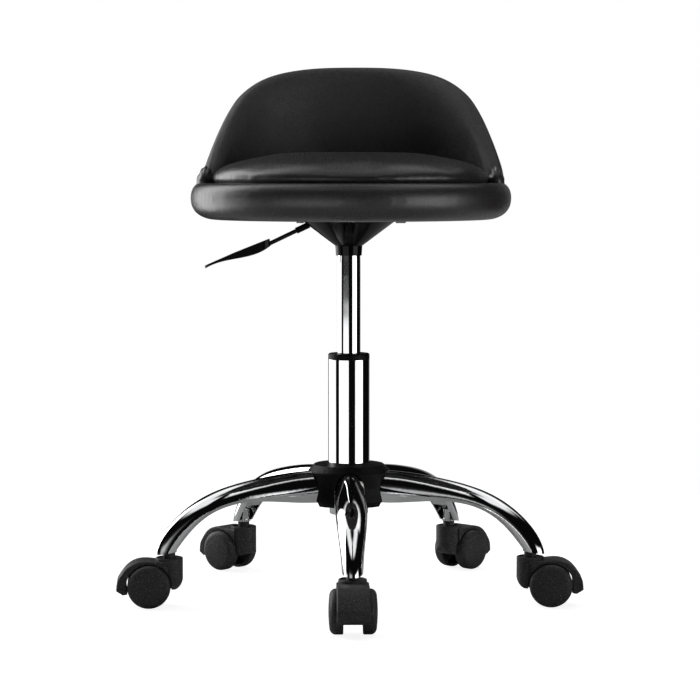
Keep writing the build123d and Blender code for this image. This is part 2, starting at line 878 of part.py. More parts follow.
def lever_point(x):
    """Point on the centre line of the lever's drooping outer leg."""
    slope = radians(lever_droop)
    return x, lever_rod_z + (x - lever_bend_x) * sin(slope) / cos(slope)


def lever_rod():
    """Bent steel rod: a level nose over the valve pin, an eye at the pivot and a drooping outer leg."""
    grip_reach = lever_point(grip_root_x - grip_socket_depth)
    with BuildPart() as rod:
        with BuildLine(Plane.XZ):
            FilletPolyline(
                (lever_nose_x, lever_rod_z), (lever_bend_x, lever_rod_z), grip_reach, radius=lever_bend_radius
            )
        with BuildSketch(Plane(origin=(lever_nose_x, 0, lever_rod_z), z_dir=(-1, 0, 0))):
            Circle(lever_rod_radius)
        sweep()
        with BuildSketch(Plane.XZ):
            with Locations((lever_pivot_x, lever_rod_z)):
                Circle(lever_eye_radius)
        extrude(amount=lever_eye_width / 2, both=True)
        with BuildSketch(Plane.XZ):
            with Locations((lever_pivot_x, lever_rod_z)):
                Circle(lever_pin_radius + running_gap)
        extrude(amount=lever_eye_width, both=True, mode=Mode.SUBTRACT)
    return rod.part


def grip_point(share, rise):
    """Point of the grip's side outline: a share of its length, and a rise over the leg's centre line."""
    x = grip_root_x + share * (grip_tip_x - grip_root_x)
    return x, lever_point(x)[1] + rise


def leg_plane(x):
    """Plane across the lever's outer leg at x, facing its tip."""
    slope = radians(lever_droop)
    along, height = lever_point(x)
    return Plane(origin=(along, 0, height), x_dir=(0, 1, 0), z_dir=(-cos(slope), 0, -sin(slope)))


def lever_sleeve():
    """Black sleeve on the lever where it leaves the cone."""
    with BuildPart() as sleeve:
        with BuildSketch(leg_plane(sleeve_start_x)):
            Circle(lever_sleeve_radius)
            Circle(lever_rod_radius, mode=Mode.SUBTRACT)
        extrude(amount=lever_sleeve_length)
    return sleeve.part


def lever_grip():
    """Flat moulded paddle, thick over the rod and thin at its rounded tip."""
    with BuildPart() as grip:
        with BuildSketch(Plane.XZ):
            with BuildLine():
                Polyline(
                    grip_point(0, -grip_root_under),
                    grip_point(0.025, grip_root_over),
                    grip_point(0.557, grip_middle_over),
                    grip_point(1, grip_tip_over),
                    grip_point(0.987, grip_tip_over - grip_tip_thickness),
                )
                Spline(
                    grip_point(0.987, grip_tip_over - grip_tip_thickness),
                    grip_point(0.67, grip_middle_over - 4.7),
                    grip_point(0.407, -grip_root_under / 2),
                    grip_point(0, -grip_root_under),
                )
            make_face()
        extrude(amount=grip_width / 2, both=True)
        with BuildSketch(Plane.XY.offset(grip_floor_z)):
            with Locations(((grip_root_x + grip_tip_x) / 2, 0)):
                RectangleRounded(grip_root_x - grip_tip_x, grip_width, grip_corner)
        extrude(amount=lever_rod_z - grip_floor_z, mode=Mode.INTERSECT)
        with BuildSketch(leg_plane(grip_root_x - grip_socket_depth)):
            Circle(lever_rod_radius)
        extrude(amount=-2 * grip_socket_depth, mode=Mode.SUBTRACT)
    return grip.part


# ---------------------------------------------------------------- seat
def seat_board():
    """Round plywood board, drilled for the tee nuts and, at its back edge, for the screws of the back."""
    with BuildPart() as board:
        with BuildSketch(Plane.XY.offset(board_bottom_z)):
            with Locations((seat_shift_x, 0)):
                Circle(board_radius)
            with GridLocations(2 * bolt_half_pitch, 2 * bolt_half_pitch, 2, 2):
                Circle(tee_barrel_radius, mode=Mode.SUBTRACT)
        extrude(amount=board_thickness)
        for angle in back_screw_angles:
            with BuildSketch(back_screw_plane(angle)):
                Circle(back_screw_radius)
            extrude(amount=-back_screw_length, mode=Mode.SUBTRACT)
    return board.part


def dust_cover():
    """Cloth stapled under the board, with a square opening for the seat plate."""
    with BuildPart() as cover:
        with BuildSketch(Plane.XY.offset(board_bottom_z - cover_thickness - 0.1)):
            with Locations((seat_shift_x, 0)):
                Circle(rim_inner_radius - soft_gap)
            Rectangle(plate_side + 2.0, plate_side + 2.0, mode=Mode.SUBTRACT)
        extrude(amount=cover_thickness)
    return cover.part


def seat_rim():
    """Fat padded roll round the edge of the seat, wrapped over and under the board."""
    with BuildPart() as rim:
        with BuildSketch(seat_profile_plane):
            with BuildLine():
                Polyline(
                    (rim_inner_radius, rim_bottom_z + 2.0),
                    (rim_inner_radius, board_bottom_z - soft_gap),
                    (board_radius + soft_gap, board_bottom_z - soft_gap),
                    (board_radius + soft_gap, board_top_z + soft_gap),
                    (rim_inner_radius, board_top_z + soft_gap),
                    (rim_inner_radius, rim_top_z - 9.0),
                    (rim_pinch_radius, rim_top_z),
                )
                Spline(
                    (rim_pinch_radius, rim_top_z),
                    (rim_radius - 4.0, rim_top_z - 7.0),
                    (rim_radius, (rim_top_z + rim_bottom_z) / 2 + 3.5),
                    (rim_radius - 4.5, rim_bottom_z + 12.0),
                    (rim_radius - 20.5, rim_bottom_z + 1.4),
                    (rim_radius - 34.0, rim_bottom_z),
                    (rim_inner_radius, rim_bottom_z + 2.0),
                )
            make_face()
        revolve(axis=seat_axis)
        with BuildSketch(Plane.XY.offset(core_foot_z - soft_gap)):
            with Locations((seat_shift_x, 0)):
                Circle(core_outer_radius + back_screw_head_height + soft_gap)
                Circle(core_inner_radius - soft_gap, mode=Mode.SUBTRACT)
                side = 2 * rim_radius
                Rectangle(side, rim_radius + back_front_y, align=(Align.CENTER, Align.MAX), mode=Mode.SUBTRACT)
        extrude(amount=rim_top_z, mode=Mode.SUBTRACT)
    return rim.part


def seat_cushion():
    """Domed top cushion, set down inside the rim."""
    edge_z = rim_top_z - 3.5
    with BuildPart() as cushion:
        with BuildSketch(seat_profile_plane):
            with BuildLine():
                Polyline(
                    (0, cushion_crown_z),
                    (0, board_top_z + tee_flange_thickness + soft_gap),
                    (rim_inner_radius - soft_gap, board_top_z + tee_flange_thickness + soft_gap),
                    (rim_inner_radius - soft_gap, rim_top_z - 8.0),
                    (cushion_radius - 2.0, edge_z),
                )
                ThreePointArc(
                    (cushion_radius - 2.0, edge_z), (cushion_radius, edge_z + 4.5), (cushion_radius - 2.5, edge_z + 9.0)
                )
                Spline(
                    (cushion_radius - 2.5, edge_z + 9.0),
                    (cushion_radius - 20.0, cushion_crown_z - 14.5),
                    (cushion_radius - 58.0, cushion_crown_z - 5.6),
                    (0, cushion_crown_z),
                    tangents=((-0.55, 1), (-1, 0)),
                )
            make_face()
        revolve(axis=seat_axis)
    return cushion.part


# ---------------------------------------------------------------- back
def back_side_outline(inset, foot_z):
    """Side view of the back: everything behind its sweeping top edge, drawn in by inset."""
    reach = rim_radius + 20.0
    with BuildSketch(Plane.YZ) as outline:
        with BuildLine():
            sweep_up = Spline(
                (back_front_y + inset * 1.3, back_foot_z),
                (0.339 * back_outer_radius + inset * 0.85, back_top_z - 87 - inset * 0.55),
                (0.570 * back_outer_radius + inset * 0.7, back_top_z - 49 - inset * 0.75),
                (0.747 * back_outer_radius + inset * 0.5, back_top_z - 22 - inset * 0.9),
                (back_outer_radius, back_top_z - inset),
            )
            Polyline(sweep_up @ 1, (reach, back_top_z - inset), (reach, foot_z), (back_front_y + inset * 1.3, foot_z))
            if foot_z < back_foot_z:
                Line((back_front_y + inset * 1.3, foot_z), sweep_up @ 0)
        make_face()
    return outline.sketch


def curved_wall(inner, outer, foot_z, top_z):
    """Upright round wall about the seat's centre."""
    with BuildPart() as wall:
        with BuildSketch(Plane.XY.offset(foot_z)):
            with Locations((seat_shift_x, 0)):
                Circle(outer)
                Circle(inner, mode=Mode.SUBTRACT)
        extrude(amount=top_z - foot_z)
    return wall.part


def back_screw_plane(angle):
    """Plane on the outside of the board's edge, facing away from the seat's centre."""
    outward = Vector(sin(radians(angle)), cos(radians(angle)), 0)
    centre = Vector(seat_shift_x, 0, (board_bottom_z + board_top_z) / 2)
    return Plane(origin=centre + outward * core_outer_radius, z_dir=outward)


def back_core():
    """Bent plywood core of the back, screwed to the edge of the board."""
    with BuildPart() as core:
        add(curved_wall(core_inner_radius, core_outer_radius, core_foot_z, back_top_z))
        extrude(back_side_outline(core_inset, core_foot_z), amount=rim_radius, both=True, mode=Mode.INTERSECT)
        for angle in back_screw_angles:
            with BuildSketch(back_screw_plane(angle)):
                Circle(back_screw_radius)
            extrude(amount=-back_screw_length, mode=Mode.SUBTRACT)
    return core.part


def back_screws():
    """Wood screws through the core into the edge of the board."""
    with BuildPart() as screws:
        for angle in back_screw_angles:
            with BuildSketch(back_screw_plane(angle)):
                Circle(back_screw_head_radius)
            extrude(amount=back_screw_head_height)
            with BuildSketch(back_screw_plane(angle)):
                Circle(back_screw_radius)
            extrude(amount=-back_screw_length)
    return screws.part


def back_pad():
    """Padded low back that wraps round the rear of the seat, hollow for its core."""
    with BuildPart() as pad:
        add(curved_wall(back_inner_radius, back_outer_radius, back_foot_z, back_top_z + 1.0))
        extrude(back_side_outline(0.0, back_foot_z), amount=rim_radius, both=True, mode=Mode.INTERSECT)
        with BuildSketch(Plane.XY.offset(back_foot_z)):
            with Locations((seat_shift_x, 0)):
                Circle(core_outer_radius + soft_gap)
                Circle(core_inner_radius - soft_gap, mode=Mode.SUBTRACT)
        slot = extrude(amount=back_top_z, mode=Mode.PRIVATE)
        cavity = slot & extrude(
            back_side_outline(core_inset - soft_gap, back_foot_z), amount=rim_radius, both=True, mode=Mode.PRIVATE
        )
        add(cavity, mode=Mode.SUBTRACT)
    return pad.part


# ---------------------------------------------------------------- write every part
def main():
    os.makedirs("parts", exist_ok=True)
    write(hub_cover(), "hub_cover")
    write(hub_sleeve(), "hub_sleeve")
    for place, angle in arm_angles.items():
        write(base_arm(angle), f"arm_{place}")
    write(arm_closing_plates(), "arm_closing_plates")
    write(caster_sockets(), "caster_sockets")
    write(caster_stems(), "caster_stems")
    write(stem_clips(), "stem_clips")
    for place, angle in arm_angles.items():
        foot = radial_frame(angle, caster_circle_radius).origin
        frame = Plane(origin=foot, x_dir=radial_frame(trail_angles[place]).x_dir, z_dir=(0, 0, 1))
        write(caster_housing(frame), f"caster_{place}_housing")
        write(caster_axle(frame), f"caster_{place}_axle")
        write(caster_wheel(frame, 1), f"caster_{place}_wheel_a")
        write(caster_wheel(frame, -1), f"caster_{place}_wheel_b")
    write(column_tube(), "column_tube")
    write(guide_bush(), "guide_bush")
    write(ring(race_radius, rod_radius + tube_foot_gap, tube_floor_z, race_thickness), "bearing_lower_race")
    write(bearing_balls(), "bearing_balls")
    write(ring(race_radius, rod_radius, upper_race_z, race_thickness), "bearing_upper_race")
    write(ring(buffer_radius, rod_radius, upper_race_z + race_thickness, buffer_height), "rubber_buffer")
    write(ring(clip_radius, rod_radius - clip_groove, clip_z, clip_thickness), "rod_clip")
    write(piston_rod(), "piston_rod")
    write(piston(), "piston")
    write(gas_cylinder(), "gas_cylinder")
    write(ring(cylinder_bore, rod_radius + running_gap, cylinder_bottom_z, rod_guide_height), "rod_guide")
    write(valve_pin(), "valve_pin")
    write(seat_socket(), "seat_socket")
    write(seat_cone(), "seat_cone")
    write(seat_plate(), "seat_plate")
    write(plate_bolts(), "plate_bolts")
    write(tee_nuts(), "tee_nuts")
    write(lever_bracket(), "lever_bracket")
    write(lever_pin(), "lever_pin")
    write(lever_rod(), "lever_rod")
    write(lever_sleeve(), "lever_sleeve")
    write(lever_grip(), "lever_grip")
    write(seat_board(), "seat_board")
    write(dust_cover(), "dust_cover")
    write(seat_rim(), "seat_rim")
    write(seat_cushion(), "seat_cushion")
    write(back_core(), "back_core")
    write(back_screws(), "back_screws")
    write(back_pad(), "back_pad")


main()
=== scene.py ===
# %% [markdown]
# # Rolling stylist stool
# A round padded seat with a low wrap-around back stands on a gas lift, a five-arm chrome base and
# twin-wheel casters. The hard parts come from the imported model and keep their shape. This lesson gives
# them finishes, and makes the upholstery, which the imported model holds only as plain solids.

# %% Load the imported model
from math import atan2, cos, hypot, pi, radians, sin

import bmesh
import bpy
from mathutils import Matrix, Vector


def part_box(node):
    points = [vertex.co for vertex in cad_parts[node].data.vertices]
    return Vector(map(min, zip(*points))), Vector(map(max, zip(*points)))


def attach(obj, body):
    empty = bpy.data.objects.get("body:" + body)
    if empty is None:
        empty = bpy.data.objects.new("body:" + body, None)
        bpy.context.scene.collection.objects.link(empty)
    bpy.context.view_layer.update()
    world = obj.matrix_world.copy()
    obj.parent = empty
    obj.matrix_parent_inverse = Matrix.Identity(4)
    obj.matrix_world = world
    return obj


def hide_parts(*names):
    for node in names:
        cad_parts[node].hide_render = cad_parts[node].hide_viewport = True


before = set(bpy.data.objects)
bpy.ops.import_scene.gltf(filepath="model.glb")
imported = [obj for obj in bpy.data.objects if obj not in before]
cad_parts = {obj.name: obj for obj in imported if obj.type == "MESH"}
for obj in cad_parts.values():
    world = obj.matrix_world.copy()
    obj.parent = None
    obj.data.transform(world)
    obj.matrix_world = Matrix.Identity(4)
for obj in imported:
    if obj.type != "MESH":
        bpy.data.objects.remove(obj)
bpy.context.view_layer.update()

MM = 0.001

# %% [markdown]
# ## The camera
# A product picture is taken from far away with a long lens, so that the round seat and the column
# stay free of perspective bulge. The camera stands level with the top of the cushion and looks
# slightly down, which shows the top of the cushion as a thin ellipse.

# %% Camera
CAMERA_PLACE = (-0.0539, -2.8782, 0.5142)
CAMERA_TILT = radians(85.71)
CAMERA_TURN = radians(-1.1)
CAMERA_LENS = 123.03
SENSOR_WIDTH = 36.0

camera_data = bpy.data.cameras.new("studio_camera")
camera_data.sensor_width = SENSOR_WIDTH
camera_data.lens = CAMERA_LENS
camera = bpy.data.objects.new("studio_camera", camera_data)
camera.location = CAMERA_PLACE
camera.rotation_euler = (CAMERA_TILT, 0.0, CAMERA_TURN)
bpy.context.scene.collection.objects.link(camera)
bpy.context.scene.camera = camera
bpy.context.scene.view_settings.view_transform = "Standard"
print("camera distance, metres:", round(camera.location.length, 3))

# %% [markdown]
# ## Helpers for node trees
# Every finish and the studio light are networks of shader nodes. Three small helpers keep the lesson
# short: one adds a node and fills its inputs, one does a step of arithmetic, and one makes a smooth
# ramp between two values.

# %% Node helpers
def add_node(tree, kind, inputs=None, **settings):
    """Add a node, set its properties, then fill inputs with values or with other nodes' outputs."""
    made = tree.nodes.new(kind)
    for name, value in settings.items():
        setattr(made, name, value)
    for name, value in (inputs or {}).items():
        if isinstance(value, bpy.types.NodeSocket):
            tree.links.new(value, made.inputs[name])
        else:
            made.inputs[name].default_value = value
    return made


def math_node(tree, operation, first, second=0.0):
    """One arithmetic step; each operand is a number or another node's output."""
    made = add_node(tree, "ShaderNodeMath", {0: first, 1: second}, operation=operation)
    return made.outputs[0]


def ramp_node(tree, value, low, high, start=0.0, end=1.0):
    """Smooth step from start to end while value goes from low to high."""
    made = add_node(
        tree,
        "ShaderNodeMapRange",
        {"Value": value, "From Min": low, "From Max": high, "To Min": start, "To Max": end},
        interpolation_type="SMOOTHSTEP",
    )
    return made.outputs["Result"]


# %% [markdown]
# ## Studio light
# Chrome shows nothing but its surroundings, so the surroundings are designed first: large soft
# panels on a dark room. They are painted into the world as soft-edged boxes of direction, which
# costs no geometry and gives no noise. The camera itself sees plain white behind the stool.

# %% World
def band(tree, angle, low, high, soft):
    """1 between low and high degrees, falling smoothly to 0 over soft degrees each side."""
    rise = ramp_node(tree, angle, radians(low - soft), radians(low + soft))
    fall = ramp_node(tree, angle, radians(high - soft), radians(high + soft), 1.0, 0.0)
    return math_node(tree, "MULTIPLY", rise, fall)


# Each panel: azimuth from and to (0 is towards the camera, + is right), elevation from and to,
# softness of its sides and of its ends, all in degrees, and strength.
PANELS = [
    (-146, -104, -80, 46, 3.0, 8.0, 4.0),
    (-104, -79, -80, 4, 3.0, 4.0, 1.4),
    (-57, -3, -80, -3.6, 2.0, 1.0, 1.7),
    (-57, -3, -6, 20, 2.0, 9.0, 0.04),
    (-48, -14, 4, 16, 12.0, 4.0, 0.45),
    (38, 80, -80, 12, 6.0, 5.0, 3.0),
    (150, 182, -40, 14, 3.0, 6.0, 0.25),
    (14, 172, 54, 78, 5.0, 6.0, 1.0),
    (-172, -14, 54, 78, 5.0, 6.0, 1.0),
    (112, 170, 42, 56, 5.0, 5.0, 1.0),
    (-170, -112, 42, 56, 5.0, 5.0, 1.0),
]
ROOM_GLOW = 0.003


def studio_world():
    """Dark room with soft panels, and plain white where the camera looks straight at it."""
    world = bpy.data.worlds.new("studio")
    world.use_nodes = True
    tree = world.node_tree
    background = tree.nodes["Background"]
    background.inputs["Color"].default_value = (1, 1, 1, 1)
    direction = add_node(tree, "ShaderNodeTexCoord").outputs["Generated"]
    parts = add_node(tree, "ShaderNodeSeparateXYZ", {"Vector": direction}).outputs
    away = math_node(tree, "MULTIPLY", parts["Y"], -1.0)
    azimuth = math_node(tree, "ARCTAN2", parts["X"], away)
    elevation = math_node(tree, "ARCSINE", parts["Z"])
    total = ROOM_GLOW
    for left, right, low, high, side_soft, end_soft, strength in PANELS:
        across = band(tree, azimuth, left, right, side_soft)
        upward = band(tree, elevation, low, high, end_soft)
        panel = math_node(tree, "MULTIPLY", math_node(tree, "MULTIPLY", across, upward), strength)
        total = math_node(tree, "ADD", total, panel)
    seen = add_node(tree, "ShaderNodeLightPath").outputs["Is Camera Ray"]
    plain = add_node(tree, "ShaderNodeMix", {"Factor": seen, "A": total, "B": 1.0}, data_type="FLOAT")
    tree.links.new(plain.outputs["Result"], background.inputs["Strength"])
    bpy.context.scene.world = world
    return len(PANELS)


print("light panels:", studio_world())

# %% [markdown]
# ## The floor
# A pale round floor catches a faint contact shadow. It also glows towards the camera only, so that
# it meets the white background without an edge but puts no extra light on the stool.

# %% Floor
FLOOR_RADIUS = 1.05
FLOOR_GLOW = 0.88
FLOOR_DROP = 0.0005


def studio_floor():
    """Plain pale disc under the casters."""
    shape = bmesh.new()
    bmesh.ops.create_circle(shape, cap_ends=True, radius=FLOOR_RADIUS, segments=128)
    bmesh.ops.translate(shape, verts=shape.verts, vec=(0, 0, -FLOOR_DROP))
    mesh = bpy.data.meshes.new("floor")
    shape.to_mesh(mesh)
    shape.free()
    floor = bpy.data.objects.new("floor", mesh)
    bpy.context.scene.collection.objects.link(floor)
    pale = bpy.data.materials.new("floor_pale")
    pale.use_nodes = True
    shader = pale.node_tree.nodes["Principled BSDF"]
    shader.inputs["Base Color"].default_value = (0.5, 0.5, 0.5, 1)
    shader.inputs["Roughness"].default_value = 0.9
    shader.inputs["Emission Color"].default_value = (1, 1, 1, 1)
    seen = add_node(pale.node_tree, "ShaderNodeLightPath").outputs["Is Camera Ray"]
    glow = math_node(pale.node_tree, "MULTIPLY", seen, FLOOR_GLOW)
    pale.node_tree.links.new(glow, shader.inputs["Emission Strength"])
    mesh.materials.append(pale)
    return floor


studio_floor()
print("floor radius, metres:", FLOOR_RADIUS)

# %% [markdown]
# ## Shared effects
# Leather, moulded plastic and chrome all need small irregularities. Each effect that more than one
# finish uses is a node group, built once: pebbled grain, fine moulded texture and wiping marks.

# %% Node groups
def new_group(name, inputs, outputs):
    """Empty shader node group; returns it with its input and output sockets."""
    group = bpy.data.node_groups.new(name, "ShaderNodeTree")
    for label, value in inputs.items():
        socket = group.interface.new_socket(label, in_out="INPUT", socket_type="NodeSocketFloat")
        socket.default_value = value
    for label in outputs:
        group.interface.new_socket(label, in_out="OUTPUT", socket_type="NodeSocketFloat")
    start = group.nodes.new("NodeGroupInput")
    end = group.nodes.new("NodeGroupOutput")
    return group, start.outputs, end.inputs


def group_pebble_grain():
    """Pressed leather grain: rounded pebbles between fine valleys, plus slow stretch marks."""
    inputs = {"Scale": 700.0, "Stretch": 30.0}
    group, given, result = new_group("pebble_grain", inputs, ["Height", "Valleys"])
    place = add_node(group, "ShaderNodeTexCoord").outputs["Object"]
    bend = add_node(group, "ShaderNodeTexNoise", {"Vector": place, "Scale": 260.0, "Detail": 2.0})
    bent = add_node(
        group,
        "ShaderNodeVectorMath",
        {0: bend.outputs["Color"], "Scale": 0.0014},
        operation="SCALE",
    )
    moved = add_node(group, "ShaderNodeVectorMath", {0: place, 1: bent.outputs[0]}, operation="ADD")
    cells = add_node(
        group,
        "ShaderNodeTexVoronoi",
        {"Vector": moved.outputs[0], "Scale": given["Scale"]},
        feature="DISTANCE_TO_EDGE",
    )
    pebbles = ramp_node(group, cells.outputs["Distance"], 0.0, 0.28)
    slow = add_node(
        group, "ShaderNodeTexNoise", {"Vector": place, "Scale": given["Stretch"], "Detail": 3.0}
    )
    pulled = math_node(group, "MULTIPLY", slow.outputs["Fac"], 0.6)
    group.links.new(math_node(group, "ADD", pebbles, pulled), result["Height"])
    # Valleys also sets where the leather finishes paint shade into the colour.
    group.links.new(math_node(group, "SUBTRACT", 1.0, pebbles), result["Valleys"])
    return group


def group_moulded_texture():
    """Spark-eroded mould texture: fine even bumps with a few larger ones."""
    group, given, result = new_group("moulded_texture", {"Scale": 900.0}, ["Height", "Glint Specks"])
    place = add_node(group, "ShaderNodeTexCoord").outputs["Object"]
    fine = add_node(
        group, "ShaderNodeTexNoise", {"Vector": place, "Scale": given["Scale"], "Detail": 2.0}
    )
    wider = math_node(group, "MULTIPLY", given["Scale"], 0.35)
    coarse = add_node(group, "ShaderNodeTexNoise", {"Vector": place, "Scale": wider, "Detail": 1.0})
    height = math_node(group, "ADD", fine.outputs["Fac"], coarse.outputs["Fac"])
    group.links.new(height, result["Height"])
    # The specks mask marks where the plastic finishes paint glints into the colour.
    group.links.new(ramp_node(group, fine.outputs["Fac"], 0.52, 0.72), result["Glint Specks"])
    return group


def group_wiping_marks():
    """Faint hazy patches that a cloth leaves on polished surfaces."""
    group, given, result = new_group("wiping_marks", {"Scale": 18.0}, ["Haze"])
    place = add_node(group, "ShaderNodeTexCoord").outputs["Object"]
    patches = add_node(
        group,
        "ShaderNodeTexNoise",
        {"Vector": place, "Scale": given["Scale"], "Detail": 5.0, "Roughness": 0.6, "Distortion": 0.8},
    )
    group.links.new(ramp_node(group, patches.outputs["Fac"], 0.48, 0.72), result["Haze"])
    return group


pebble_grain = group_pebble_grain()
moulded_texture = group_moulded_texture()
wiping_marks = group_wiping_marks()
print("node groups:", pebble_grain.name, moulded_texture.name, wiping_marks.name)

# %% [markdown]
# ## Starting a finish
# A finish is one Principled shader. Colours that vary are a mix of two colours by a mask, and
# roughness that varies is a range driven by the same mask, so each finish reads the same way.

# %% Finish helpers
finishes = {}


def new_finish(name, **plain):
    """Material with a Principled shader whose plain sockets are set; returns its tree and shader."""
    finish = bpy.data.materials.new(name)
    finish.use_nodes = True
    shader = finish.node_tree.nodes["Principled BSDF"]
    for label, value in plain.items():
        shader.inputs[label.replace("_", " ")].default_value = value
    finishes[name] = finish
    return finish.node_tree, shader


def colour_mix(tree, shader, mask, dark, light):
    """Base colour between dark and light by mask."""
    mixed = add_node(
        tree,
        "ShaderNodeMix",
        {"Factor": mask, "A": (*dark, 1.0), "B": (*light, 1.0)},
        data_type="RGBA",
    )
    tree.links.new(mixed.outputs[2], shader.inputs["Base Color"])


def roughness_range(tree, shader, mask, low, high):
    """Roughness from low to high by mask."""
    tree.links.new(ramp_node(tree, mask, 0.0, 1.0, low, high), shader.inputs["Roughness"])


def bump(tree, shader, height, depth, strength=1.0):
    """Surface relief from height; depth is its size in metres."""
    relief = add_node(
        tree, "ShaderNodeBump", {"Height": height, "Distance": depth, "Strength": strength}
    )
    tree.links.new(relief.outputs["Normal"], shader.inputs["Normal"])


# %% [markdown]
# ## Chrome
# Bright chrome is a mirror with a slightly cool colour. What makes it look real is not scratches but
# very faint haze where it was wiped, and plating that follows the slow ripple of pressed steel.

# %% Chrome
def chrome(name, ripple, haze_low, haze_high, tint):
    """Plated steel; ripple is the depth of the waviness of the metal underneath, in metres."""
    tree, shader = new_finish(name, Metallic=1.0)
    haze = add_node(tree, "ShaderNodeGroup", {"Scale": 22.0}, node_tree=wiping_marks).outputs["Haze"]
    colour_mix(tree, shader, haze, tint, tuple(value * 0.94 for value in tint))
    roughness_range(tree, shader, haze, haze_low, haze_high)
    place = add_node(tree, "ShaderNodeTexCoord").outputs["Object"]
    wave = add_node(tree, "ShaderNodeTexNoise", {"Vector": place, "Scale": 24.0, "Detail": 1.0})
    bump(tree, shader, wave.outputs["Fac"], ripple)


chrome("chrome", 0.00012, 0.035, 0.075, (0.83, 0.835, 0.845))
chrome("chrome_plate", 0.0002, 0.12, 0.22, (0.62, 0.62, 0.63))
print("chrome finishes:", list(finishes))

# %% [markdown]
# ## Moulded plastics
# The hub cover and the casters are textured black plastic, the cone and the lever are smooth and
# glossy. The texture scatters light, so its roughness and its relief come from the same group; its
# specks also get a lighter colour as painted glints.

# %% Plastics
def textured_plastic(name, scale, depth, low, high, dark, light, shine):
    """Plastic with a fine mould texture and specks that catch the light, drawn as painted glints of
    lighter colour.
    """
    tree, shader = new_finish(name, Specular_IOR_Level=shine)
    texture = add_node(tree, "ShaderNodeGroup", {"Scale": scale}, node_tree=moulded_texture).outputs
    # The lighter colour on the specks is a painted glint.
    colour_mix(tree, shader, texture["Glint Specks"], dark, light)
    roughness_range(tree, shader, texture["Glint Specks"], low, high)
    bump(tree, shader, texture["Height"], depth)


def glossy_plastic(name, low, high, dark, light, shine, depth=0.00002):
    """Smooth plastic with wiping marks and a trace of orange peel."""
    tree, shader = new_finish(name, Specular_IOR_Level=shine)
    haze = add_node(tree, "ShaderNodeGroup", {"Scale": 30.0}, node_tree=wiping_marks).outputs["Haze"]
    colour_mix(tree, shader, haze, dark, light)
    roughness_range(tree, shader, haze, low, high)
    place = add_node(tree, "ShaderNodeTexCoord").outputs["Object"]
    peel = add_node(tree, "ShaderNodeTexNoise", {"Vector": place, "Scale": 420.0, "Detail": 1.0})
    bump(tree, shader, peel.outputs["Fac"], depth)


# Each row: name, texture scale, depth, roughness low and high, dark colour and light colour (the painted
# glint on the specks), shine.
TEXTURED = [
    ("hub_plastic", 850.0, 0.0003, 0.45, 0.6, (0.0015, 0.0015, 0.0016), (0.006, 0.006, 0.0065), 0.12),
    ("caster_plastic", 800.0, 0.0004, 0.5, 0.7, (0.035, 0.033, 0.035), (0.13, 0.124, 0.128), 0.35),
    ("guide_plastic", 900.0, 0.0001, 0.35, 0.5, (0.01, 0.01, 0.011), (0.016, 0.016, 0.017), 0.3),
    ("buffer_rubber", 600.0, 0.0003, 0.7, 0.9, (0.012, 0.012, 0.012), (0.03, 0.03, 0.03), 0.3),
]
for row in TEXTURED:
    textured_plastic(*row)
glossy_plastic("cone_gloss", 0.12, 0.22, (0.0015, 0.0015, 0.0016), (0.003, 0.003, 0.0032), 0.1)
glossy_plastic("lever_black", 0.3, 0.42, (0.002, 0.002, 0.002), (0.004, 0.004, 0.004), 0.12)
print("plastics:", list(finishes)[2:])

# %% [markdown]
# ## Bare and painted metal, plywood and cloth
# Parts that are hidden when the stool stands on the floor still get their own finish, because the
# stool is looked at from below as well.

# %% Hidden finishes
def metal(name, tint, low, high, metallic=1.0):
    """Metal with directionless fine scratches and patches of haze."""
    tree, shader = new_finish(name, Metallic=metallic)
    haze = add_node(tree, "ShaderNodeGroup", {"Scale": 60.0}, node_tree=wiping_marks).outputs["Haze"]
    colour_mix(tree, shader, haze, tint, tuple(value * 0.8 for value in tint))
    roughness_range(tree, shader, haze, low, high)
    place = add_node(tree, "ShaderNodeTexCoord").outputs["Object"]
    brushed = add_node(tree, "ShaderNodeTexNoise", {"Vector": place, "Scale": 1500.0, "Detail": 2.0})
    bump(tree, shader, brushed.outputs["Fac"], 0.00003)


def plywood():
    """Birch plywood: long grain on the faces and darker glue lines through the thickness."""
    tree, shader = new_finish("plywood")
    place = add_node(tree, "ShaderNodeTexCoord").outputs["Object"]
    along = add_node(tree, "ShaderNodeMapping", {"Vector": place, "Scale": (6.0, 90.0, 1.0)})
    grain = add_node(
        tree, "ShaderNodeTexNoise", {"Vector": along.outputs[0], "Scale": 4.0, "Detail": 6.0}
    )
    layers = add_node(
        tree,
        "ShaderNodeTexWave",
        {"Vector": place, "Scale": 66.0, "Distortion": 0.4},
        bands_direction="Z",
    )
    mask = math_node(tree, "MULTIPLY", grain.outputs["Fac"], layers.outputs["Fac"])
    colour_mix(tree, shader, mask, (0.28, 0.17, 0.08), (0.62, 0.45, 0.26))
    roughness_range(tree, shader, mask, 0.75, 0.6)
    bump(tree, shader, grain.outputs["Fac"], 0.0001)


def black_cloth():
    """Thin non-woven cloth: a pressed grid of dots over tangled fibres."""
    tree, shader = new_finish("cloth_black")
    place = add_node(tree, "ShaderNodeTexCoord").outputs["Object"]
    dots = add_node(tree, "ShaderNodeTexVoronoi", {"Vector": place, "Scale": 620.0, "Randomness": 0.12})
    pressed = ramp_node(tree, dots.outputs["Distance"], 0.25, 0.5)
    fibres = add_node(tree, "ShaderNodeTexNoise", {"Vector": place, "Scale": 2600.0, "Detail": 3.0})
    colour_mix(tree, shader, fibres.outputs["Fac"], (0.008, 0.008, 0.009), (0.04, 0.04, 0.043))
    roughness_range(tree, shader, pressed, 0.55, 0.95)
    bump(tree, shader, math_node(tree, "ADD", pressed, fibres.outputs["Fac"]), 0.0002)


metal("lever_steel", (0.05, 0.05, 0.052), 0.22, 0.34)
metal("raw_steel", (0.55, 0.54, 0.52), 0.25, 0.45)
metal("black_steel", (0.012, 0.012, 0.013), 0.4, 0.55, metallic=0.0)
plywood()
black_cloth()
print("finishes:", len(finishes))
